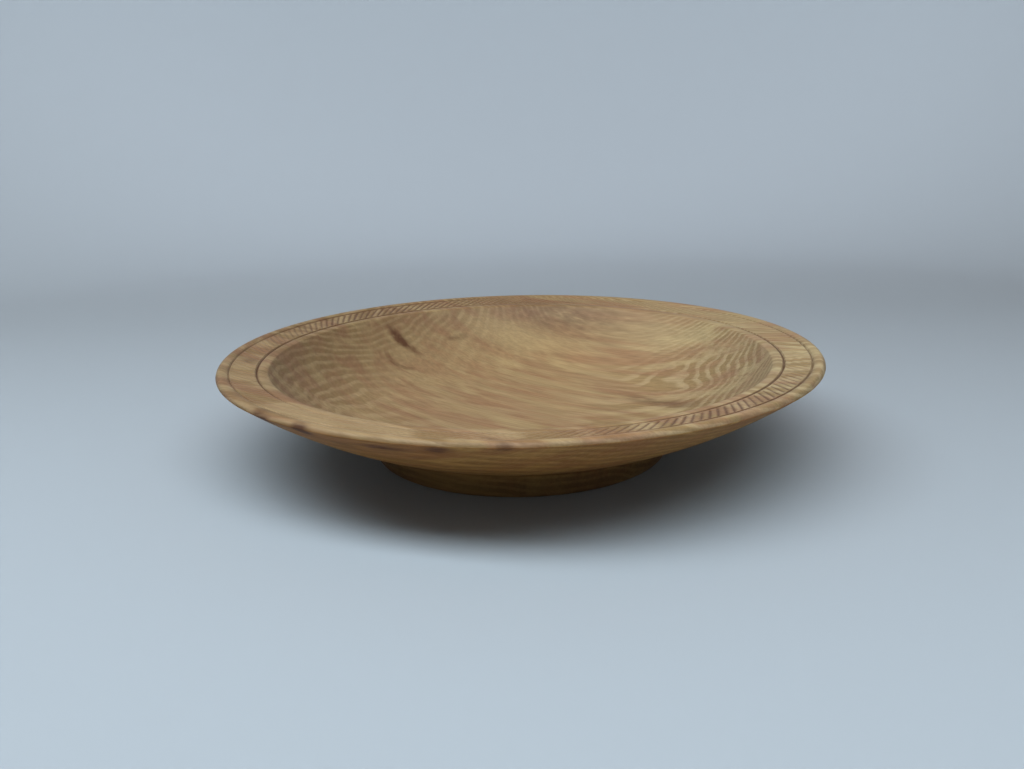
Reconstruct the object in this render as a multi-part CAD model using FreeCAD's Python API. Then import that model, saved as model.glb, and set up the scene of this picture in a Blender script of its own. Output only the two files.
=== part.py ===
"""Turned wooden platter on a low round foot.

The platter is one piece of elm, turned on a lathe and then decorated on its broad rim. A ring of short
slanting cuts, pressed in by a spiralling tool, runs between two V grooves. The outer groove sets off a
rounded lip and the inner one a narrow bead at the mouth of the dish.

Frame: the lathe's axis is +Z, and the origin is the centre of the circle that the foot stands on.
Units are millimetres. Everything but the slanting cuts is one outline, turned about Z.
"""

import FreeCAD
import Part
import math
import os
from FreeCAD import Vector

# Overall sizes
DIAMETER = 250.0
HEIGHT = 43.6

# Foot and base
FOOT_DIAMETER = 125.0  # at the floor, half the platter's diameter
FOOT_HEIGHT = 9.6
FOOT_FLARE = 0.6  # how much wider the foot's radius is where it meets the underside
FOOT_RING_WIDTH = 10.0  # the flat ring that touches the table
FOOT_EDGE_ROUND = 0.8
FOOT_COVE = 1.6  # fillet between the foot and the underside
RECESS_DIAMETER = 60.0  # the dovetail recess that the chuck's jaws held, at its mouth
RECESS_DEPTH = 3.0  # from the plane of the ring
RECESS_DOVETAIL = 0.5  # how much the recess's radius widens at its bottom
BASE_RELIEF = 0.8  # how far the base inside the ring is hollowed, at the recess

# Underside and lip
UNDERSIDE_BOW = 3.0  # how far the convex sweep stands out from a straight cone
LIP_RADIUS = 2.0  # the quarter round from the sharp outer edge up to the lip's crest

# Rim
RIM_TILT = 6.8  # degrees; the rim rises outwards
LIP_WIDTH = 5.0  # from the outer edge in to the outer groove's middle
LIP_STEP = 0.3  # how far the lip's crest stands above the tilted rim
BAND_WIDTH = 10.8  # between the middles of the two grooves
BEAD_WIDTH = 4.5  # from the inner groove's middle in to the dish's mouth
BEAD_CROWN = 0.25
OUTER_GROOVE_WIDTH = 1.0
OUTER_GROOVE_DEPTH = 0.6
INNER_GROOVE_WIDTH = 1.3
INNER_GROOVE_DEPTH = 0.8

# Slanting cuts
CUT_PITCH = 3.75  # along the middle of the band
CUT_WIDTH = 1.7
CUT_DEPTH = 0.45
CUT_SLANT = 45.0  # degrees from the radius, clockwise on the way out, seen from above

# Dish
FLOOR_THICKNESS = 8.5  # at the centre, over the recess
FLOOR_RADIUS = 60.0  # the gently dished part
FLOOR_RISE = 4.0  # how far the floor climbs on the way to that radius

OVER = 1.0  # how far a cutter stands out of what it cuts

# Places that follow from the sizes
EDGE_R = DIAMETER / 2
CREST_R = EDGE_R - LIP_RADIUS
OUTER_GROOVE_R = EDGE_R - LIP_WIDTH
INNER_GROOVE_R = OUTER_GROOVE_R - BAND_WIDTH
BAND_R = (INNER_GROOVE_R + OUTER_GROOVE_R) / 2
MOUTH_R = INNER_GROOVE_R - BEAD_WIDTH
FOOT_R = FOOT_DIAMETER / 2
RECESS_R = RECESS_DIAMETER / 2
FLOOR_Z = RECESS_DEPTH + FLOOR_THICKNESS


def point(r, z):
    """A point of the outline, which lies in the XZ plane."""
    return Vector(r, 0, z)


def on_rim(r):
    """The point of the tilted rim at radius r. The lip's crest stands LIP_STEP above the rim."""
    return point(r, HEIGHT - LIP_STEP - (CREST_R - r) * math.tan(math.radians(RIM_TILT)))


def line(start, end):
    return Part.LineSegment(start, end).toShape()


def arc(start, end, bow):
    """An arc from start to end. Its middle stands off the straight line by bow, to the left."""
    along = (end - start).normalize()
    left = Vector(-along.z, 0, along.x)
    return Part.Arc(start, (start + end) * 0.5 + left * bow, end).toShape()


def slope(start, end):
    return math.atan2(end.z - start.z, end.x - start.x)


def bow(start, end, half_turn):
    """The bow of an arc whose tangent at either end makes this angle with the straight line."""
    return (end - start).Length / 2 * math.tan(half_turn / 2)


def base_outline():
    """From the axis, over the recess and the relieved base, to the top of the foot's wall."""
    points = [
        point(0, RECESS_DEPTH),
        point(RECESS_R + RECESS_DOVETAIL, RECESS_DEPTH),
        point(RECESS_R, BASE_RELIEF),
        point(FOOT_R - FOOT_RING_WIDTH, 0),
        point(FOOT_R, 0),
        point(FOOT_R + FOOT_FLARE, FOOT_HEIGHT),
    ]
    return [line(a, b) for a, b in zip(points, points[1:])]


def edge_outline():
    """The convex underside out to the sharp edge, then over the lip to the outer groove."""
    foot_top = point(FOOT_R + FOOT_FLARE, FOOT_HEIGHT)
    edge = point(EDGE_R, HEIGHT - LIP_RADIUS)
    crest = point(CREST_R, HEIGHT)
    shoulder = on_rim(OUTER_GROOVE_R + OUTER_GROOVE_WIDTH / 2)
    return [
        arc(foot_top, edge, -UNDERSIDE_BOW),
        arc(edge, crest, -bow(edge, crest, math.pi / 4)),
        arc(crest, shoulder, -bow(crest, shoulder, slope(shoulder, crest))),
    ]


def groove_outline(radius, width, depth):
    """A V groove in the tilted rim, from its outer shoulder to its inner one."""
    outer = on_rim(radius + width / 2)
    inner = on_rim(radius - width / 2)
    bottom = on_rim(radius) - Vector(0, 0, depth)
    return [line(outer, bottom), line(bottom, inner)]


def rim_outline():
    """The outer groove, the band, the inner groove and the bead, from outside in."""
    band_outer = on_rim(OUTER_GROOVE_R - OUTER_GROOVE_WIDTH / 2)
    band_inner = on_rim(INNER_GROOVE_R + INNER_GROOVE_WIDTH / 2)
    bead_outer = on_rim(INNER_GROOVE_R - INNER_GROOVE_WIDTH / 2)
    return (
        groove_outline(OUTER_GROOVE_R, OUTER_GROOVE_WIDTH, OUTER_GROOVE_DEPTH)
        + [line(band_outer, band_inner)]
        + groove_outline(INNER_GROOVE_R, INNER_GROOVE_WIDTH, INNER_GROOVE_DEPTH)
        + [arc(bead_outer, on_rim(MOUTH_R), -BEAD_CROWN)]
    )


def dish_outline():
    """The wall, one arc tangent to the floor, then the floor, which is level at the axis."""
    mouth = on_rim(MOUTH_R)
    turn = point(FLOOR_RADIUS, FLOOR_Z + FLOOR_RISE)
    centre = point(0, FLOOR_Z)
    floor_slope = slope(centre, turn)
    wall_half_turn = slope(turn, mouth) - 2 * floor_slope
    return [
        arc(mouth, turn, bow(mouth, turn, wall_half_turn)),
        arc(turn, centre, bow(turn, centre, floor_slope)),
    ]


def turned_body():
    edges = base_outline() + edge_outline() + rim_outline() + dish_outline()
    edges.append(line(point(0, FLOOR_Z), point(0, RECESS_DEPTH)))
    outline = Part.Face(Part.Wire(edges))
    return outline.revolve(Vector(0, 0, 0), Vector(0, 0, 1), 360)


def ring_edges(body, radius, height):
    """The circular edges of the body with this radius at this height."""
    near = 1e-4
    return [
        e
        for e in body.Edges
        if not e.Degenerated
        and isinstance(e.Curve, Part.Circle)
        and abs(e.Curve.Radius - radius) < near
        and abs(e.Curve.Center.z - height) < near
    ]


def softened(body):
    """The foot's lower edge is eased, and a small cove joins its wall to the underside."""
    body = body.makeFillet(FOOT_EDGE_ROUND, ring_edges(body, FOOT_R, 0))
    return body.makeFillet(FOOT_COVE, ring_edges(body, FOOT_R + FOOT_FLARE, FOOT_HEIGHT))


def one_cut():
    """The V cutter of one slanting cut, trimmed to run from groove to groove."""
    slant = math.radians(CUT_SLANT)
    tilt = math.radians(RIM_TILT)
    outwards = Vector(math.cos(tilt), 0, math.sin(tilt))
    normal = Vector(-math.sin(tilt), 0, math.cos(tilt))
    along = outwards * math.cos(slant) - Vector(0, 1, 0) * math.sin(slant)
    across = normal.cross(along)
    reach = BAND_WIDTH / 2 / math.cos(slant) + CUT_WIDTH
    half_top = CUT_WIDTH / 2 * (CUT_DEPTH + OVER) / CUT_DEPTH  # the V's sides go on above the rim
    start = on_rim(BAND_R) - along * reach
    corners = [
        start - normal * CUT_DEPTH,
        start + normal * OVER + across * half_top,
        start + normal * OVER - across * half_top,
    ]
    prism = Part.Face(Part.makePolygon(corners + corners[:1])).extrude(along * (2 * reach))
    bottom = on_rim(INNER_GROOVE_R).z - CUT_DEPTH - OVER
    tall = HEIGHT + 2 * OVER - bottom
    outer = Part.makeCylinder(OUTER_GROOVE_R, tall, Vector(0, 0, bottom))
    inner = Part.makeCylinder(INNER_GROOVE_R, tall, Vector(0, 0, bottom))
    return prism.common(outer.cut(inner))


def decorated(body):
    """The body with its ring of slanting cuts, as many as fit round the band at CUT_PITCH."""
    count = round(2 * math.pi * BAND_R / CUT_PITCH)
    first = one_cut()
    cutters = []
    for i in range(count):
        cutter = first.copy()
        cutter.rotate(Vector(0, 0, 0), Vector(0, 0, 1), 360.0 * i / count)
        cutters.append(cutter)
    print("slanting cuts:", count)
    return body.cut(Part.makeCompound(cutters))


def main():
    os.makedirs("parts", exist_ok=True)
    platter = decorated(softened(turned_body()))
    print("solids:", len(platter.Solids), "valid:", platter.isValid())
    print("volume in mm3:", round(platter.Volume))
    platter.Solids[0].exportStep("parts/platter.step")


main()
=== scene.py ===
# %% [markdown]
# # A turned elm platter
#
# The real object is one piece of wood. A turner screwed a disc of elm to a lathe, cut the foot and the
# underside, turned it round to hollow the dish, and then pressed a spiralling tool against the spinning
# rim to leave a ring of slanting cuts between two V grooves. The design gives its size and its place:
# here the same shape is made again as one fine mesh, with a wood that is solid all the way through.

# %% The frame
import math
import bmesh
import bpy
from mathutils import Matrix, Vector


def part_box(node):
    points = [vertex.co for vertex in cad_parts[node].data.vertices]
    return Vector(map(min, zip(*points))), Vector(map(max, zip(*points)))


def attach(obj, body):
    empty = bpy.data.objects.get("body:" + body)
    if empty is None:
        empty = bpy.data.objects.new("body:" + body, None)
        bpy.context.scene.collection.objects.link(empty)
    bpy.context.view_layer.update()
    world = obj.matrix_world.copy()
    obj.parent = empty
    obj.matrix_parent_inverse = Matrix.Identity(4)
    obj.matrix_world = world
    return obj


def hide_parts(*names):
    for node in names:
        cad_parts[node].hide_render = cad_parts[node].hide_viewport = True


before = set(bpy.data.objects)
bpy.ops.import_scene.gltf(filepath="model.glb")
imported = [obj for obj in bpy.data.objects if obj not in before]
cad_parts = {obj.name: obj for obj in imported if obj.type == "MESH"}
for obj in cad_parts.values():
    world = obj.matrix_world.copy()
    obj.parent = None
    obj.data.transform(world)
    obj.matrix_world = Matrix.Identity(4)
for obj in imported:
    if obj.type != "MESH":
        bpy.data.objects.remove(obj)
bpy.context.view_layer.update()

MM = 0.001
low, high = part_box("platter")
DIAMETER = (high[0] - low[0]) / MM
HEIGHT = (high[2] - low[2]) / MM
print(f"the platter is {DIAMETER:.1f} mm across and {HEIGHT:.1f} mm high")

# %% [markdown]
# ## Sizes
#
# A turner works from a template of the outline. These are its sizes in millimetres, the same ones that
# the design was drawn with, so the mesh fills the design's place to a hair. They could be read back from
# the CAD mesh, but a template says what each size is for.

# %% The template's sizes
EDGE_R = DIAMETER / 2
LIP_RADIUS = 2.0  # quarter round from the outer edge up to the crest
CREST_R = EDGE_R - LIP_RADIUS
LIP_STEP = 0.3
RIM_TILT = math.radians(6.8)  # the rim rises outwards
OUTER_GROOVE_R = EDGE_R - 5.0
INNER_GROOVE_R = OUTER_GROOVE_R - 10.8
MOUTH_R = INNER_GROOVE_R - 4.5
OUTER_GROOVE = (1.0, 0.6)  # width and depth
INNER_GROOVE = (1.3, 0.8)
BEAD_CROWN = 0.25
FLOOR_Z = 11.5
FLOOR_RADIUS = 60.0
FLOOR_RISE = 4.0
UNDERSIDE_BOW = 3.0
FOOT_R = 62.5
FOOT_FLARE = 0.6
FOOT_HEIGHT = 9.6
RING_INNER_R = 52.5
RECESS_R = 30.0
RECESS_DEPTH = 3.0
RECESS_DOVETAIL = 0.5
BASE_RELIEF = 0.8


def rim_z(r):
    return HEIGHT - LIP_STEP - (CREST_R - r) * math.tan(RIM_TILT)


BAND_INNER_R = INNER_GROOVE_R + INNER_GROOVE[0] / 2
BAND_OUTER_R = OUTER_GROOVE_R - OUTER_GROOVE[0] / 2
print(f"the decorated band runs from {BAND_INNER_R:.2f} to {BAND_OUTER_R:.2f} mm from the axis")

# %% [markdown]
# ## Drawing the outline
#
# A turned shape is an outline spun about the lathe's axis. The outline could be a curve with a Screw
# modifier. A bmesh keeps every step in one place: a single vertex is the pencil, extruding it draws a
# straight stretch, and spinning it about an arc's centre draws a round one.

# %% A pencil with two moves
template = bmesh.new()
pencil = template.verts.new((0, 0, FLOOR_Z))


def straight_to(r, z):
    """Draws a straight line to radius r and height z."""
    global pencil
    pencil = bmesh.ops.extrude_vert_indiv(template, verts=[pencil])["verts"][0]
    pencil.co = (r, 0, z)


def arc_to(r, z, bow, steps):
    """Draws an arc that stands off the straight line by bow, to the left of the way it goes."""
    global pencil
    start, end = pencil.co.copy(), Vector((r, 0, z))
    chord = end - start
    left = Vector((-chord.z, 0, chord.x)).normalized()
    radius = (chord.length**2 / 4 + bow**2) / (2 * bow)
    centre = (start + end) / 2 + left * (bow - radius)
    turn = 2 * math.asin(min(1, chord.length / 2 / abs(radius))) * math.copysign(1, bow)
    drawn = bmesh.ops.spin(template, geom=[pencil], cent=centre, axis=(0, 1, 0), angle=turn, steps=steps)
    pencil = [v for v in drawn["geom_last"] if isinstance(v, bmesh.types.BMVert)][0]
    print(f"arc ends {(pencil.co - end).length:.6f} mm from where it should")


def half_turn_bow(start, end, half_turn):
    return (end - start).length / 2 * math.tan(half_turn / 2)


# %% [markdown]
# ## The outline, from the middle of the dish to the middle of the base
#
# The pencil goes the way the turner's gouge would: over the dish's floor and up its wall, across the
# bead and the two grooves, round the lip, and home along the underside, the foot and the recess that
# held the blank on the lathe. Arcs are used wherever the real curve is one, so few points are needed.

# %% Dish, rim, underside and foot
wall_foot = Vector((FLOOR_RADIUS, 0, FLOOR_Z + FLOOR_RISE))
mouth = Vector((MOUTH_R, 0, rim_z(MOUTH_R)))
floor_half = math.atan2(FLOOR_RISE, FLOOR_RADIUS)
wall_half = math.atan2(mouth.z - wall_foot.z, mouth.x - wall_foot.x) - 2 * floor_half
arc_to(wall_foot.x, wall_foot.z, -half_turn_bow(pencil.co, wall_foot, floor_half), 12)
arc_to(mouth.x, mouth.z, -half_turn_bow(wall_foot, mouth, wall_half), 16)
bead_outer = INNER_GROOVE_R - INNER_GROOVE[0] / 2
arc_to(bead_outer, rim_z(bead_outer), BEAD_CROWN, 6)
straight_to(INNER_GROOVE_R, rim_z(INNER_GROOVE_R) - INNER_GROOVE[1])
straight_to(BAND_INNER_R, rim_z(BAND_INNER_R))
before_band = len(template.verts)
BAND_ROWS = 14
for row in range(1, BAND_ROWS + 1):
    r = BAND_INNER_R + (BAND_OUTER_R - BAND_INNER_R) * row / BAND_ROWS
    straight_to(r, rim_z(r))
after_band = len(template.verts)
straight_to(OUTER_GROOVE_R, rim_z(OUTER_GROOVE_R) - OUTER_GROOVE[1])
shoulder_r = OUTER_GROOVE_R + OUTER_GROOVE[0] / 2
straight_to(shoulder_r, rim_z(shoulder_r))
crest = Vector((CREST_R, 0, HEIGHT))
shoulder_half = math.atan2(crest.z - pencil.co.z, crest.x - pencil.co.x)
arc_to(crest.x, crest.z, half_turn_bow(pencil.co, crest, shoulder_half), 4)
edge = Vector((EDGE_R, 0, HEIGHT - LIP_RADIUS))
arc_to(edge.x, edge.z, half_turn_bow(crest, edge, math.pi / 4), 8)
arc_to(FOOT_R + FOOT_FLARE, FOOT_HEIGHT, UNDERSIDE_BOW, 16)
straight_to(FOOT_R, 0)
straight_to(RING_INNER_R, 0)
straight_to(RECESS_R, BASE_RELIEF)
straight_to(RECESS_R + RECESS_DOVETAIL, RECESS_DEPTH)
straight_to(0, RECESS_DEPTH)
print(f"the outline has {len(template.verts)} points")

# %% [markdown]
# ## The twist
#
# The cuts slant across the band at 45 degrees. Each one could be a cutter for a Boolean, but hundreds of
# those are slow and leave ragged faces. Here the outline itself is bent sideways where it crosses the
# band. When it is spun, the columns of faces lean just as the cuts do, so a cut is a few whole columns
# pushed down. A line that always keeps 45 degrees to the radius is a spiral, so its angle grows with
# the logarithm of the radius.

# %% Bend the outline across the band
CUTS = 192
CUT_SLANT = math.radians(45)


def band_twist(r):
    """How far round the axis the slanting grid has leaned at radius r of the band."""
    return -math.tan(CUT_SLANT) * math.log(r / BAND_INNER_R)


template.verts.index_update()
template.verts.ensure_lookup_table()
for v in template.verts[before_band:]:
    lean = band_twist(v.co.x if v.index < after_band else BAND_OUTER_R)
    bmesh.ops.rotate(template, verts=[v], cent=(0, 0, 0), matrix=Matrix.Rotation(lean, 3, "Z"))
print(f"the grid leans {math.degrees(-band_twist(BAND_OUTER_R)):.2f} degrees on its way across the band")

# %% [markdown]
# ## On the lathe
#
# One spin of the outline makes the whole surface, with two columns of faces to each cut. The two points
# on the axis become a ring of doubles each, which are merged into poles. After that the sharp rings are
# eased with a bevel, as sandpaper eases them: hardly at all on the rim, and more at the foot.

# %% Spin, close and ease
SAME_PLACE = 1e-3  # closer than this, two points count as one place
outline_parts = template.verts[:] + template.edges[:]
bmesh.ops.spin(template, geom=outline_parts, cent=(0, 0, 0), axis=(0, 0, 1), angle=2 * math.pi,
               steps=2 * CUTS, use_merge=True)
bmesh.ops.remove_doubles(template, verts=template.verts, dist=1e-4)
bmesh.ops.dissolve_degenerate(template, dist=1e-5, edges=template.edges)
bmesh.ops.recalc_face_normals(template, faces=template.faces)


def ring(r, z):
    """The edges of the ring with this radius and height."""
    return [e for e in template.edges
            if all(abs(math.hypot(v.co.x, v.co.y) - r) < SAME_PLACE and abs(v.co.z - z) < SAME_PLACE
                   for v in e.verts)]


def ease(r, z, offset, segments):
    edges = ring(r, z)
    bmesh.ops.bevel(template, geom=edges, offset=offset, segments=segments, profile=0.5,
                    affect="EDGES", material=-1)
    print(f"eased a ring of {len(edges)} edges by {offset} mm")


ease(MOUTH_R, rim_z(MOUTH_R), 0.3, 3)
for groove_r, (width, depth) in ((INNER_GROOVE_R, INNER_GROOVE), (OUTER_GROOVE_R, OUTER_GROOVE)):
    ease(groove_r - width / 2, rim_z(groove_r - width / 2), 0.12, 2)
    ease(groove_r, rim_z(groove_r) - depth, 0.1, 2)
    ease(groove_r + width / 2, rim_z(groove_r + width / 2), 0.12, 2)
ease(EDGE_R, HEIGHT - LIP_RADIUS, 0.3, 2)
ease(FOOT_R + FOOT_FLARE, FOOT_HEIGHT, 1.6, 4)
ease(FOOT_R, 0, 0.8, 4)
ease(RING_INNER_R, 0, 0.4, 2)
ease(RECESS_R, BASE_RELIEF, 0.4, 2)

# %% [markdown]
# ## The slanting cuts
#
# Only the band needs more columns, so only its rings are divided. Then each point of the band sinks by
# how near it lies to the middle of a cut. The ridges between the cuts are round and the valleys sharp,
# which is what a spiralling tool leaves. No two real cuts are quite as deep, and the tool bites deeper
# where its cuts cross the grain than where they run along it, so the depth varies.

# %% Divide the band and press the cuts in
CUT_DEPTH = 0.45
CUT_FADE = 0.9  # a cut runs out over this length at each end
SURFACE_GAP = 0.05  # a point this near to the rim's surface belongs to it
# The painted shade in the cuts is also strongest this way and the way opposite.
DEEP_AND_SHADED_SIDE = math.radians(128)  # this way from the axis, and the way opposite, the tool bites deepest


def on_band(v):
    r = math.hypot(v.co.x, v.co.y)
    within = BAND_INNER_R - SAME_PLACE < r < BAND_OUTER_R + SAME_PLACE
    return within and abs(v.co.z - rim_z(r)) < SURFACE_GAP


band_rings = [e for e in template.edges
              if all(on_band(v) for v in e.verts)
              and abs(math.hypot(*e.verts[0].co.xy) - math.hypot(*e.verts[1].co.xy)) < SAME_PLACE]
bmesh.ops.subdivide_edges(template, edges=band_rings, cuts=3, use_grid_fill=True)


def smooth(x):
    x = min(max(x, 0), 1)
    return x * x * (3 - 2 * x)


pitch = 2 * math.pi / CUTS
for v in [v for v in template.verts if on_band(v)]:
    r = math.hypot(v.co.x, v.co.y)
    angle = math.atan2(v.co.y, v.co.x)
    cuts_round = (angle - band_twist(r)) / pitch
    cut = round(cuts_round) % CUTS
    valley = 1 - abs(math.sin(math.pi * cuts_round))
    uneven = 0.88 + 0.12 * math.sin(2.4 * cut) * math.sin(0.71 * cut)
    ends = smooth((r - BAND_INNER_R) / CUT_FADE) * smooth((BAND_OUTER_R - r) / CUT_FADE)
    bite = 0.72 + 0.28 * math.cos(2 * (angle - DEEP_AND_SHADED_SIDE))
    v.co.z -= CUT_DEPTH * valley * uneven * bite * ends
print(f"{CUTS} cuts, {pitch * (BAND_INNER_R + BAND_OUTER_R) / 2:.2f} mm apart")

# %% [markdown]
# ## What the grooves remember
#
# Burnished cuts and grooves hold some wax and dust, and they are also painted darker as painted shade, so
# they look darker than the wood beside them. That follows the shape, not the wood, so each point keeps how
# deep it lies under the rim in an attribute of the mesh, which the material reads later. A second attribute
# keeps how far the point faces down.

# %% Store the depth and make the object
GROOVE_REACH = 0.8
# The darkening of wax and painted shade spreads this far out of a groove.
WAX_AND_SHADE_BLEED = 1.1  # wax soaks this far out of a groove
mesh = bpy.data.meshes.new("platter_turned")
depth_layer = template.verts.layers.float.new("groove_depth")
below_layer = template.verts.layers.float.new("underside")
template.normal_update()
for v in template.verts:
    r = math.hypot(v.co.x, v.co.y)
    sunk = rim_z(r) - v.co.z
    near_rim = INNER_GROOVE_R - GROOVE_REACH < r < OUTER_GROOVE_R + GROOVE_REACH and sunk < 1.0
    bleed = max(smooth(1 - abs(r - groove_r) / WAX_AND_SHADE_BLEED) for groove_r in (INNER_GROOVE_R, OUTER_GROOVE_R))
    v[depth_layer] = min(max(sunk, 0.45 * bleed), 1) if near_rim else 0
    v[below_layer] = smooth(0.6 - 2 * v.normal.z)
bmesh.ops.scale(template, vec=(MM, MM, MM), verts=template.verts)
for face in template.faces:
    face.smooth = True
template.to_mesh(mesh)
template.free()
platter = bpy.data.objects.new("platter_turned", mesh)
bpy.context.collection.objects.link(platter)
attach(platter, "root")
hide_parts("platter")
mesh.calc_loop_triangles()
print(f"{len(mesh.vertices)} points, {len(mesh.loop_triangles)} triangles")

# %% [markdown]
# ## Mixing colours and wiring nodes
#
# Colours are written as the hex codes that a paint shop would give and turned into linear light once. One
# helper adds any node with its settings and its wires, so that a material reads as a list of steps.

# %% Colour and node helpers
def hex_colour(code):
    """Turns an sRGB hex colour into the linear one that Blender works in."""
    parts = [int(code[i:i + 2], 16) / 255 for i in (1, 3, 5)]
    return [c / 12.92 if c <= 0.04045 else ((c + 0.055) / 1.055) ** 2.4 for c in parts] + [1]


def new_material(name):
    material = bpy.data.materials.new(name)
    material.use_nodes = True
    material.node_tree.nodes.clear()
    return material


def add(material, kind, inputs=None, output=0, **settings):
    """Adds a node and gives back one of its outputs. An input is a value or another node's output."""
    node = material.node_tree.nodes.new(kind)
    for name, value in settings.items():
        setattr(node, name, value)
    for name, value in (inputs or {}).items():
        if isinstance(value, bpy.types.NodeSocket):
            material.node_tree.links.new(value, node.inputs[name])
        else:
            node.inputs[name].default_value = value
    return node.outputs[output] if len(node.outputs) else None


# %% [markdown]
# ## Elm, all the way through
#
# A plank's figure is the set of growth rings that the turned surface happens to slice. Painting lines on
# the surface would break at the rim, so the rings are real here: tubes about the tree's own middle line,
# which passes high above the blank and runs along the grain. Where the dish cuts across them at its ends
# they show as fine close lines, and where it cuts along them they open into broad tongues. Elm gives the
# eye a warm tan with a lively, wavering figure, and turning leaves it too smooth to show the tool.

# %% Where a point lies in the tree
GRAIN_TURN = math.radians(35)
PITH_ACROSS = 12.0
PITH_HEIGHT = 105.0
FLAT_SIDE = (0.25, -22.0)  # the rings run flatter on one side of the tree
STEEP_SIDE = (2.0, -68.0)  # and closer together on the other
SIDE_BLEND = 12.0
elm = new_material("turned elm, oiled and buffed")
place = add(elm, "ShaderNodeTexCoord", output="Object")
grain = add(elm, "ShaderNodeMapping", {"Vector": place, "Rotation": (0, 0, GRAIN_TURN),
                                       "Scale": (1 / MM, 1 / MM, 1 / MM)})
from_pith = add(elm, "ShaderNodeVectorMath", {0: grain, 1: (0, PITH_ACROSS, PITH_HEIGHT)},
                operation="SUBTRACT")
across = add(elm, "ShaderNodeSeparateXYZ", {0: from_pith}, output="Y")
above = add(elm, "ShaderNodeSeparateXYZ", {0: from_pith}, output="Z")
flattened = add(elm, "ShaderNodeMath", {0: across, 1: FLAT_SIDE[0], 2: FLAT_SIDE[1]},
                operation="MULTIPLY_ADD")
steepened = add(elm, "ShaderNodeMath", {0: across, 1: STEEP_SIDE[0], 2: STEEP_SIDE[1]},
                operation="MULTIPLY_ADD")
sideways = add(elm, "ShaderNodeMath", {0: across, 1: flattened, 2: SIDE_BLEND}, operation="SMOOTH_MAX")
sideways = add(elm, "ShaderNodeMath", {0: sideways, 1: steepened, 2: SIDE_BLEND}, operation="SMOOTH_MAX")
in_section = add(elm, "ShaderNodeCombineXYZ", {0: sideways, 1: above})
ring_radius = add(elm, "ShaderNodeVectorMath", {0: in_section}, operation="LENGTH", output="Value")
print("the rings are tubes about the middle line of the tree")

# %% [markdown]
# ## Drifts and eggs
#
# Two shapes do the rest of the work inside the wood. A drift is noise stretched along the grain, for all
# that changes slowly in a tree. An egg is a soft region with a place and a size, for what happens once, as
# a knot does. Both are worked out in the grain's axes, so they follow the board and not the table.

# %% Two soft shapes
def drift(stretch, detail=2.0, seed=0.0, swirl=0.0):
    """A soft noise from 0 to 1. Its patches have these sizes in mm along, across and up the tree."""
    sized = add(elm, "ShaderNodeMapping", {"Vector": grain, "Location": (seed, seed, seed),
                                           "Scale": [1 / s for s in stretch]})
    return add(elm, "ShaderNodeTexNoise", {
        "Vector": sized, "Scale": 1.0, "Detail": detail, "Distortion": swirl})


def blob(centre, turn, half_sizes):
    """1 in the middle of an egg in the wood, fading to 0 at its skin, in mm and in the grain's axes."""
    inside = add(elm, "ShaderNodeMapping", {"Vector": grain, "Location": centre, "Scale": half_sizes,
                                            "Rotation": (0, 0, math.radians(turn))}, vector_type="TEXTURE")
    away = add(elm, "ShaderNodeVectorMath", {0: inside}, operation="LENGTH", output="Value")
    return add(elm, "ShaderNodeMapRange", {"Value": away, "From Min": 1.0, "From Max": 0.0},
               interpolation_type="SMOOTHERSTEP")


# %% [markdown]
# ## Wandering rings
#
# No tree is a stack of clean tubes. A slow drift makes the tongues wander, a quicker one makes their
# edges ripple, and two swellings push the rings aside as a branch does, which gives the nested tongues on
# one side of the dish and the pale oval at its far side.

# %% Bend the rings
RING_SPACING = 2.5
WANDER, WAVER, RIPPLE, SWELLING = 8.0, 1.3, 9.0, -10.0  # how far each one moves a ring, in mm
wander = drift((75, 34, 34), seed=3.7)
rings = add(elm, "ShaderNodeMath", {0: wander, 1: WANDER, 2: ring_radius}, operation="MULTIPLY_ADD")
waver = drift((26, 10, 12), seed=11.3)
rings = add(elm, "ShaderNodeMath", {0: waver, 1: WAVER, 2: rings}, operation="MULTIPLY_ADD")
branch_side = blob((38, 72, 25), -12, (95, 40, 300))
ripple = drift((38, 17, 22), seed=2.0)
rippled = add(elm, "ShaderNodeMath", {0: branch_side, 1: ripple}, operation="MULTIPLY")
rings = add(elm, "ShaderNodeMath", {0: rippled, 1: RIPPLE, 2: rings}, operation="MULTIPLY_ADD")
branch_swelling = blob((52, 79, 20), -8, (80, 34, 200))
rings = add(elm, "ShaderNodeMath", {0: branch_swelling, 1: SWELLING, 2: rings}, operation="MULTIPLY_ADD")
print("bent by two drifts, a ripple and a swelling")

# %% [markdown]
# ## One year's growth
#
# A ring starts with pale, open spring wood and darkens towards its end, then stops at once where the next
# year begins. A sine wave would look the same from both sides, so a slow rise and a quick fall are used.
# Some years hardly show, and two eggs quieten those.

# %% Give each ring its profile
count = add(elm, "ShaderNodeMath", {0: rings, 1: RING_SPACING}, operation="DIVIDE")
in_ring = add(elm, "ShaderNodeMath", {0: count}, operation="FRACT")
darkening = add(elm, "ShaderNodeMapRange", {"Value": in_ring, "From Min": 0.18, "From Max": 0.46},
                interpolation_type="SMOOTHSTEP")
ending = add(elm, "ShaderNodeMapRange", {"Value": in_ring, "From Min": 1.0, "From Max": 0.84},
             interpolation_type="SMOOTHSTEP")
ring_profile = add(elm, "ShaderNodeMath", {0: darkening, 1: ending}, operation="MULTIPLY")
still_wall = blob((-5, 93, 36), -8, (70, 26, 40))
still_floor = blob((-36, 30, 12), 0, (95, 105, 85))
still_years = add(elm, "ShaderNodeMath", {0: still_wall, 1: 0.8, 2: still_floor}, operation="MULTIPLY_ADD")
quiet = add(elm, "ShaderNodeMapRange", {
    "Value": still_years, "From Max": 0.5, "To Min": 1.0, "To Max": 0.2})
ring_line = add(elm, "ShaderNodeMath", {0: ring_profile, 1: quiet}, operation="MULTIPLY")
print(f"rings {RING_SPACING} mm apart about a middle line {PITH_HEIGHT:.0f} mm above the table")

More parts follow.
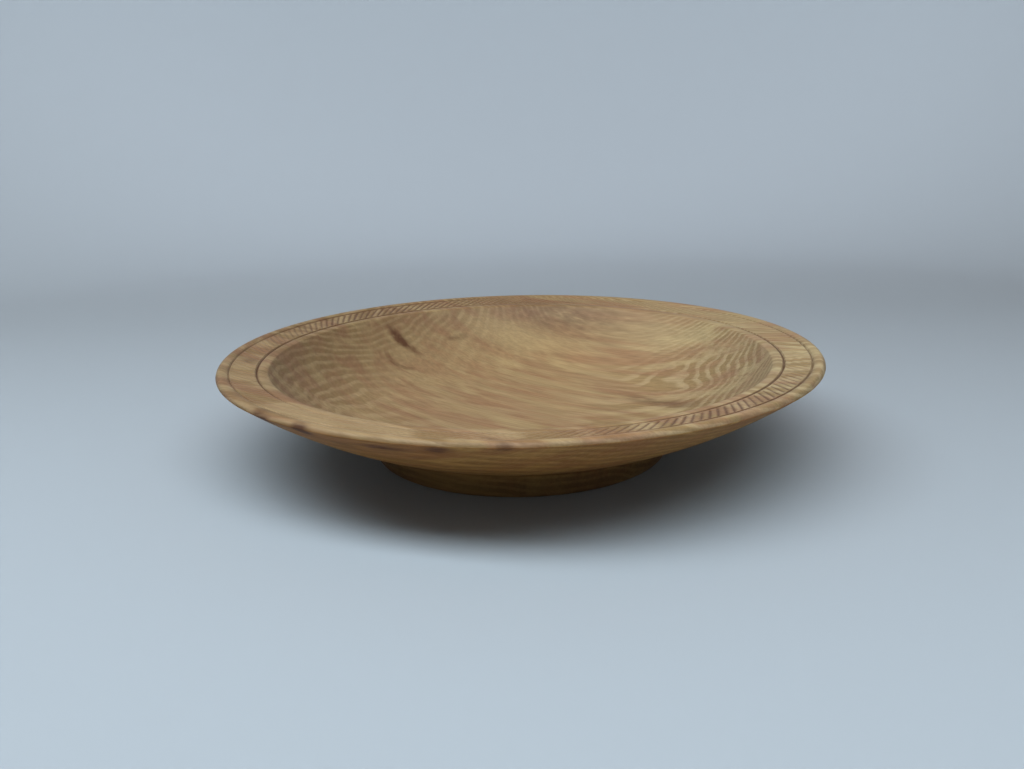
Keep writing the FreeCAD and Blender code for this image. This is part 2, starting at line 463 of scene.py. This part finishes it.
# %% [markdown]
# ## Colour
#
# Oiled elm is a tan wood with paler and redder years in it. The rings set the light and dark, and slow
# drifts mix in the red and the pale years. A colour ramp could hold all the colours at once, but separate
# mixes keep each cause apart.

# %% Tan, red and pale years
base = add(elm, "ShaderNodeMix", {
    "Factor": ring_line, 6: hex_colour("#997e59"), 7: hex_colour("#856944")}, output=2, data_type="RGBA")
red_drift = drift((80, 9, 9), 4.0, seed=21.0, swirl=0.7)
red_years = add(elm, "ShaderNodeMapRange", {
    "Value": red_drift, "From Min": 0.37, "From Max": 0.68, "To Max": 0.68}, interpolation_type="SMOOTHSTEP")
warm = add(elm, "ShaderNodeMix", {"Factor": red_years, 6: base, 7: hex_colour("#866043")}, output=2,
           data_type="RGBA")
pale_drift = drift((60, 14, 14), 3.0, seed=31.0, swirl=0.7)
pale_years = add(elm, "ShaderNodeMapRange", {
    "Value": pale_drift, "From Min": 0.52, "From Max": 0.7, "To Max": 0.6}, interpolation_type="SMOOTHSTEP")
pale_oval = blob((-45, 76, 25), 15, (46, 15, 40))
paleness = add(elm, "ShaderNodeMath", {0: pale_oval, 1: 0.6, 2: pale_years}, operation="MULTIPLY_ADD")
beside_knot = blob((-84, 21, 25), 0, (11, 10, 20))
paleness = add(elm, "ShaderNodeMath", {0: beside_knot, 1: 0.5, 2: paleness}, operation="MULTIPLY_ADD")
pale = add(elm, "ShaderNodeMix", {"Factor": paleness, 6: warm, 7: hex_colour("#9e855d")}, output=2,
           data_type="RGBA", clamp_factor=True)
print("tan wood with red and pale years")

# %% [markdown]
# ## Pores and flecks
#
# Long thin noise draws the open pores that run along the grain. Real pores are about 0.2 mm wide, too fine
# to show, so here they are drawn 0.8 mm wide. Flecks a few millimetres wide make the tone uneven.

# %% Pores and flecks
pore_streaks = drift((16, 0.8, 0.8), 2.0, seed=5.0)
pores = add(elm, "ShaderNodeMapRange", {
    "Value": pore_streaks, "From Min": 0.35, "From Max": 0.65}, interpolation_type="SMOOTHSTEP")
pore_shade = add(elm, "ShaderNodeMapRange", {"Value": pores, "To Min": 0.92, "To Max": 1.03})
flecks = drift((22, 2.6, 2.6), 3.0, seed=8.0, swirl=0.5)
fleck_shade = add(elm, "ShaderNodeMapRange", {"Value": flecks, "To Min": 0.75, "To Max": 1.13})
shade = add(elm, "ShaderNodeMath", {0: pore_shade, 1: fleck_shade}, operation="MULTIPLY")
print("pores drawn 0.8 mm wide")

# %% [markdown]
# ## End grain and the pale side
#
# End grain soaks up more oil, so the wood is darker where its surface faces along the grain. The wood is
# also made paler and greyer towards the +X side of the table. Both could be painted, but a rule that reads
# the surface's direction and place holds for every part of the turned shape.

# %% Darker end grain, one paler side
facing = add(elm, "ShaderNodeNewGeometry", output="Normal")
along_grain = (math.cos(GRAIN_TURN), -math.sin(GRAIN_TURN), 0)
end_on = add(elm, "ShaderNodeVectorMath", {0: facing, 1: along_grain}, operation="DOT_PRODUCT",
             output="Value")
thirst = add(elm, "ShaderNodeMath", {0: end_on}, operation="ABSOLUTE")
soaked = add(elm, "ShaderNodeMapRange", {
    "Value": thirst, "From Min": 0.15, "From Max": 0.65, "To Min": 1.0, "To Max": 0.82})
shade = add(elm, "ShaderNodeMath", {0: shade, 1: soaked}, operation="MULTIPLY")
along_table = add(elm, "ShaderNodeSeparateXYZ", {0: place}, output="X")
pale_side = add(elm, "ShaderNodeMapRange", {
    "Value": along_table, "From Min": -0.11, "From Max": 0.11, "To Min": 0.96, "To Max": 1.3})
shade = add(elm, "ShaderNodeMath", {0: shade, 1: pale_side}, operation="MULTIPLY")
greyer = add(elm, "ShaderNodeMapRange", {"Value": along_table, "From Min": 0.02, "From Max": 0.1})
paler_wood = add(elm, "ShaderNodeVectorMath", {0: pale, 1: (1.03, 1.13, 1.24)}, operation="MULTIPLY")
greyed_to_one_side = add(elm, "ShaderNodeMix", {"Factor": greyer, 6: pale, 7: paler_wood}, output=2,
               data_type="RGBA")
grown = add(elm, "ShaderNodeVectorMath", {0: greyed_to_one_side, "Scale": shade}, operation="SCALE")
print(f"the grain runs {math.degrees(GRAIN_TURN):.0f} degrees clockwise of the X axis")

# %% [markdown]
# ## Knots and stains
#
# A small dead branch left a dark streak with a faint ring about it, and a few years carry brown stains.
# Each is an egg-shaped region inside the wood, long in the grain's direction, so it meets the surface
# with a natural edge. Painting them on would leave them flat.

# %% Darken the streaks
STAINS = (  # centre in the grain's axes, turn, half sizes, strength
    ((-92, 26.0, 33), 4, (15, 4.2, 16), 0.8),
    ((-90, 25.5, 33), 4, (8, 5.0, 9), 0.6),
    ((-83, 27.5, 28), -4, (10, 3.5, 9), 0.6),
    ((-76, 52, 32), 60, (11, 3.0, 12), 0.55),
    ((50, 39, 17), -14, (44, 7.5, 12), 0.5),
    ((-40, 92, 38), 5, (80, 26, 24), 0.4),
    ((-23, -123, 40), 0, (9, 7, 7), 1.4),
    ((-1, -125, 40), 0, (7, 6, 7), 1.6),
    ((12, -122, 36), 0, (14, 9, 3), 0.9),
    ((30, -119, 38), 0, (16, 9, 3.5), 0.9),
    ((47, -113, 40), 0, (9, 6, 5), 0.8),
    ((70, -106, 42), -20, (30, 4, 5), 0.5),
    ((-88, -72, 42), 0, (10, 7, 8), 0.5),
)
ragged = drift((7, 2.2, 2.2), 3.0, seed=44.0)
streaks = 0.0
for centre, turn, half_sizes, strength in STAINS:
    stain = blob(centre, turn, half_sizes)
    streaks = add(elm, "ShaderNodeMath", {0: stain, 1: strength, 2: streaks}, operation="MULTIPLY_ADD")
round_knot = blob((-84, 21, 25), 0, (14, 14, 60))
collar = add(elm, "ShaderNodeMath", {0: round_knot, 1: 0.2, 2: 0.12}, operation="COMPARE")
collar_side = blob((-80, 9, 25), -20, (19, 15, 40))
half_collar = add(elm, "ShaderNodeMath", {0: collar, 1: collar_side}, operation="MULTIPLY")
streaks = add(elm, "ShaderNodeMath", {0: half_collar, 1: 0.5, 2: streaks}, operation="MULTIPLY_ADD")
ragged_edge = add(elm, "ShaderNodeMapRange", {
    "Value": ragged, "From Min": 0.3, "From Max": 0.6, "To Min": 0.45, "To Max": 1.25})
stained = add(elm, "ShaderNodeMath", {0: streaks, 1: ragged_edge}, operation="MULTIPLY", use_clamp=True)
knotty = add(elm, "ShaderNodeMix", {"Factor": stained, 6: grown, 7: hex_colour("#55361f")}, output=2,
             data_type="RGBA")
print(f"{len(STAINS)} stains and a ring about the knot")

# %% [markdown]
# ## Wax and painted shade in the grooves
#
# The grooves and the cuts read their depth from the mesh and turn dark brown with it, partly wax and partly
# painted shade. The darkening is strongest on two opposite sides of the rim, where the cuts are also
# deepest: painted shade for the way the light falls across the slanting cuts. A texture of stripes could
# fake it, but it would slip off the cuts.

# %% Wax and painted shade in the grooves and the cuts
below_rim = add(elm, "ShaderNodeAttribute", attribute_name="groove_depth", output="Fac")
wax_and_shade_depth = add(elm, "ShaderNodeMapRange", {
    "Value": below_rim, "From Min": 0.03, "From Max": 0.4, "To Max": 0.78}, interpolation_type="SMOOTHSTEP")
round_rim = add(elm, "ShaderNodeVectorMath", {0: place, 1: (1, 1, 0)}, operation="MULTIPLY")
outward = add(elm, "ShaderNodeVectorMath", {0: round_rim}, operation="NORMALIZE")
toward_deep_and_shaded_side = (math.cos(DEEP_AND_SHADED_SIDE), math.sin(DEEP_AND_SHADED_SIDE), 0)
toward_painted_shade = add(elm, "ShaderNodeVectorMath", {0: outward, 1: toward_deep_and_shaded_side}, operation="DOT_PRODUCT",
                 output="Value")
painted_shade_side = add(elm, "ShaderNodeMath", {0: toward_painted_shade}, operation="ABSOLUTE")
# Painted shade: the cuts are darkened most on the two sides of the rim where the light falls across them.
painted_shade_share = add(elm, "ShaderNodeMapRange", {
    "Value": painted_shade_side, "From Min": 0.76, "From Max": 1.0, "To Min": 0.08}, interpolation_type="SMOOTHSTEP")
groove_share = add(elm, "ShaderNodeMapRange", {"Value": below_rim, "From Min": 0.42, "From Max": 0.58})
share = add(elm, "ShaderNodeMath", {0: painted_shade_share, 1: groove_share}, operation="MAXIMUM")
wax_and_painted_shade = add(elm, "ShaderNodeMath", {0: wax_and_shade_depth, 1: share}, operation="MULTIPLY")
waxed_and_shaded = add(elm, "ShaderNodeMix", {"Factor": wax_and_painted_shade, 6: knotty, 7: hex_colour("#583823")}, output=2,
            data_type="RGBA")
# The printed angle is also where the painted shade in the cuts is strongest.
print(f"most wax lies {math.degrees(DEEP_AND_SHADED_SIDE):.0f} degrees round the rim and opposite")

# %% [markdown]
# ## The underside
#
# The underside is painted browner and warmer than the top, as painted warm bounce light from the floor,
# and it is painted darker towards the table, as painted shade where the dish shades its own foot. The mesh
# holds how far each point faces down, which is smoother than asking each face.

# %% Painted bounce light and painted shade below
below = add(elm, "ShaderNodeAttribute", attribute_name="underside", output="Fac")
# Painted warm bounce light: faces that look down are tinted warmer and browner.
browner = add(elm, "ShaderNodeVectorMath", {0: waxed_and_shaded, 1: (1.25, 0.98, 0.56)}, operation="MULTIPLY")
height = add(elm, "ShaderNodeSeparateXYZ", {0: grain}, output="Z")
# Painted shade: the underside is darkened towards the table, where the dish shades its own foot.
painted_shade_near_table = add(elm, "ShaderNodeMapRange", {
    "Value": height, "From Min": 13.0, "From Max": 4.0, "To Min": 1.0, "To Max": 0.55})
painted_bounce_and_shade = add(elm, "ShaderNodeVectorMath", {0: browner, "Scale": painted_shade_near_table}, operation="SCALE")
colour = add(elm, "ShaderNodeMix", {"Factor": below, 6: waxed_and_shaded, 7: painted_bounce_and_shade}, output=2, data_type="RGBA")
print("the underside is browner than the dish")

# %% [markdown]
# ## Sheen
#
# Buffed oil gives a soft satin: a broad, weak highlight and no mirror image. A glossy coat on top would
# look like varnish, so plain roughness is enough. Pores break the highlight up, so they set both the
# roughness and a bump far shallower than anything that the turner cut.

# %% Shader
rough = add(elm, "ShaderNodeMapRange", {"Value": pores, "To Min": 0.62, "To Max": 0.52})
relief = add(elm, "ShaderNodeBump", {"Height": pores, "Strength": 0.25, "Distance": 0.00008})
satin = add(elm, "ShaderNodeBsdfPrincipled", {
    "Base Color": colour, "Roughness": rough, "Normal": relief, "Specular IOR Level": 0.34})
add(elm, "ShaderNodeOutputMaterial", {"Surface": satin})
mesh.materials.append(elm)
print(f"{len(elm.node_tree.nodes)} nodes in the elm")

# %% [markdown]
# ## The studio
#
# The platter stands in a round tent of pale paper: a flat floor, a wide cove and an upright wall. It could
# be a plain sheet with a world colour behind it, but a tent also looks right from every other side. It
# is drawn and spun just as the platter is.

# %% A tent of paper
TENT_FLOOR = 0.55
TENT_COVE = 0.3
TENT_HEIGHT = 1.3
COVE_STEPS = 16
TENT_SIDES = 96
tent = bmesh.new()
middle = tent.verts.new((0, 0, 0))
floor_edge = bmesh.ops.extrude_vert_indiv(tent, verts=[middle])["verts"][0]
floor_edge.co.x = TENT_FLOOR
cove = bmesh.ops.spin(tent, geom=[floor_edge], cent=(TENT_FLOOR, 0, TENT_COVE), axis=(0, 1, 0),
                      angle=-math.pi / 2, steps=COVE_STEPS)
foot_of_wall = [v for v in cove["geom_last"] if isinstance(v, bmesh.types.BMVert)][0]
top_of_wall = bmesh.ops.extrude_vert_indiv(tent, verts=[foot_of_wall])["verts"][0]
top_of_wall.co.z = TENT_HEIGHT
bmesh.ops.spin(tent, geom=tent.verts[:] + tent.edges[:], cent=(0, 0, 0), axis=(0, 0, 1), angle=2 * math.pi,
               steps=TENT_SIDES, use_merge=True)
bmesh.ops.remove_doubles(tent, verts=tent.verts, dist=1e-6)
for face in tent.faces:
    face.smooth = True
tent_mesh = bpy.data.meshes.new("paper_tent")
tent.to_mesh(tent_mesh)
tent.free()
paper_tent = bpy.data.objects.new("paper_tent", tent_mesh)
bpy.context.collection.objects.link(paper_tent)
print(f"the tent is {2 * (TENT_FLOOR + TENT_COVE):.2f} m across")

# %% [markdown]
# ## Paper
#
# Uncoated paper scatters light evenly, so it gives the eye a flat pale grey with no highlight. The part
# behind the platter glows a little. That stands in for a second lamp on the backdrop, and unlike a lamp it
# lays no second shadow on the floor.

# %% Matt paper that brightens towards the back
BACK_GLOW = 0.28
GLOW_FROM_Y = 0.25
GLOW_FULL_Y = 0.75
paper = new_material("studio paper, matt")
paper_place = add(paper, "ShaderNodeTexCoord", output="Object")
toward_back = add(paper, "ShaderNodeSeparateXYZ", {0: paper_place}, output="Y")
glow = add(paper, "ShaderNodeMapRange", {
    "Value": toward_back, "From Min": GLOW_FROM_Y, "From Max": GLOW_FULL_Y, "To Max": BACK_GLOW},
    interpolation_type="SMOOTHSTEP")
matt = add(paper, "ShaderNodeBsdfPrincipled", {
    "Base Color": hex_colour("#a1a3a3"), "Roughness": 0.9, "Emission Color": hex_colour("#c4d2e0"),
    "Emission Strength": glow})
add(paper, "ShaderNodeOutputMaterial", {"Surface": matt})
tent_mesh.materials.append(paper)
print(f"the back wall glows with a strength of {BACK_GLOW}")

# %% [markdown]
# ## Light
#
# One long softbox hangs in front of the platter and a little to its left, so the dish is bright, the
# underside is dim and the shadow has a soft edge. Several lamps could do it, but each adds a shadow of its
# own. Its light is cool and the little that comes from all round is warm, which warms the shadows.

# %% One softbox and a warm fill
SOFTBOX_SIZE = (1.8, 0.34)
SOFTBOX_PLACE = (-0.12, -0.385, 0.75)
SOFTBOX_WATTS = 19
FILL_STRENGTH = 0.3
world = bpy.data.worlds.new("studio")
bpy.context.scene.world = world
world.use_nodes = True
background = world.node_tree.nodes["Background"]
background.inputs["Color"].default_value = hex_colour("#ffb376")
background.inputs["Strength"].default_value = FILL_STRENGTH
lamp = bpy.data.lights.new("softbox", "AREA")
lamp.shape = "RECTANGLE"
lamp.size, lamp.size_y = SOFTBOX_SIZE
lamp.energy = SOFTBOX_WATTS
lamp.color = (0.735, 0.872, 1.0)
softbox = bpy.data.objects.new("softbox", lamp)
bpy.context.collection.objects.link(softbox)
softbox.location = SOFTBOX_PLACE
softbox.rotation_euler = (-softbox.location).to_track_quat("-Z", "Y").to_euler()
print(f"the softbox is {softbox.location.length:.2f} m from the middle of the platter")

# %% [markdown]
# ## Camera
#
# The camera stands close, about 0.4 m off, and looks down by some 16 degrees, so the rim is a wide ellipse
# and its near side hides part of the dish. A Track To constraint could aim it, but a rotation worked
# out once is plainer. The hand-held tilt comes from turning the camera about its own line of sight.

# %% Aim the camera
LENS = 33.75
EYE = Vector((0, -399.7, 138.6)) * MM
AIM = Vector((-3.5, 0, 27.0)) * MM
ROLL = math.radians(-1.29)
camera_data = bpy.data.cameras.new("camera")
camera_data.lens = LENS
camera_data.sensor_width = 36
camera = bpy.data.objects.new("camera", camera_data)
bpy.context.collection.objects.link(camera)
camera.location = EYE
looking = (AIM - EYE).to_track_quat("-Z", "Y").to_matrix()
camera.rotation_euler = (looking @ Matrix.Rotation(ROLL, 3, "Z")).to_euler()
bpy.context.scene.camera = camera
bpy.context.scene.view_settings.view_transform = "Standard"
bpy.context.scene.view_settings.gamma = 0.88  # a little more contrast than a plain screen image has
print(f"the camera is {(AIM - EYE).length:.3f} m from where it looks")
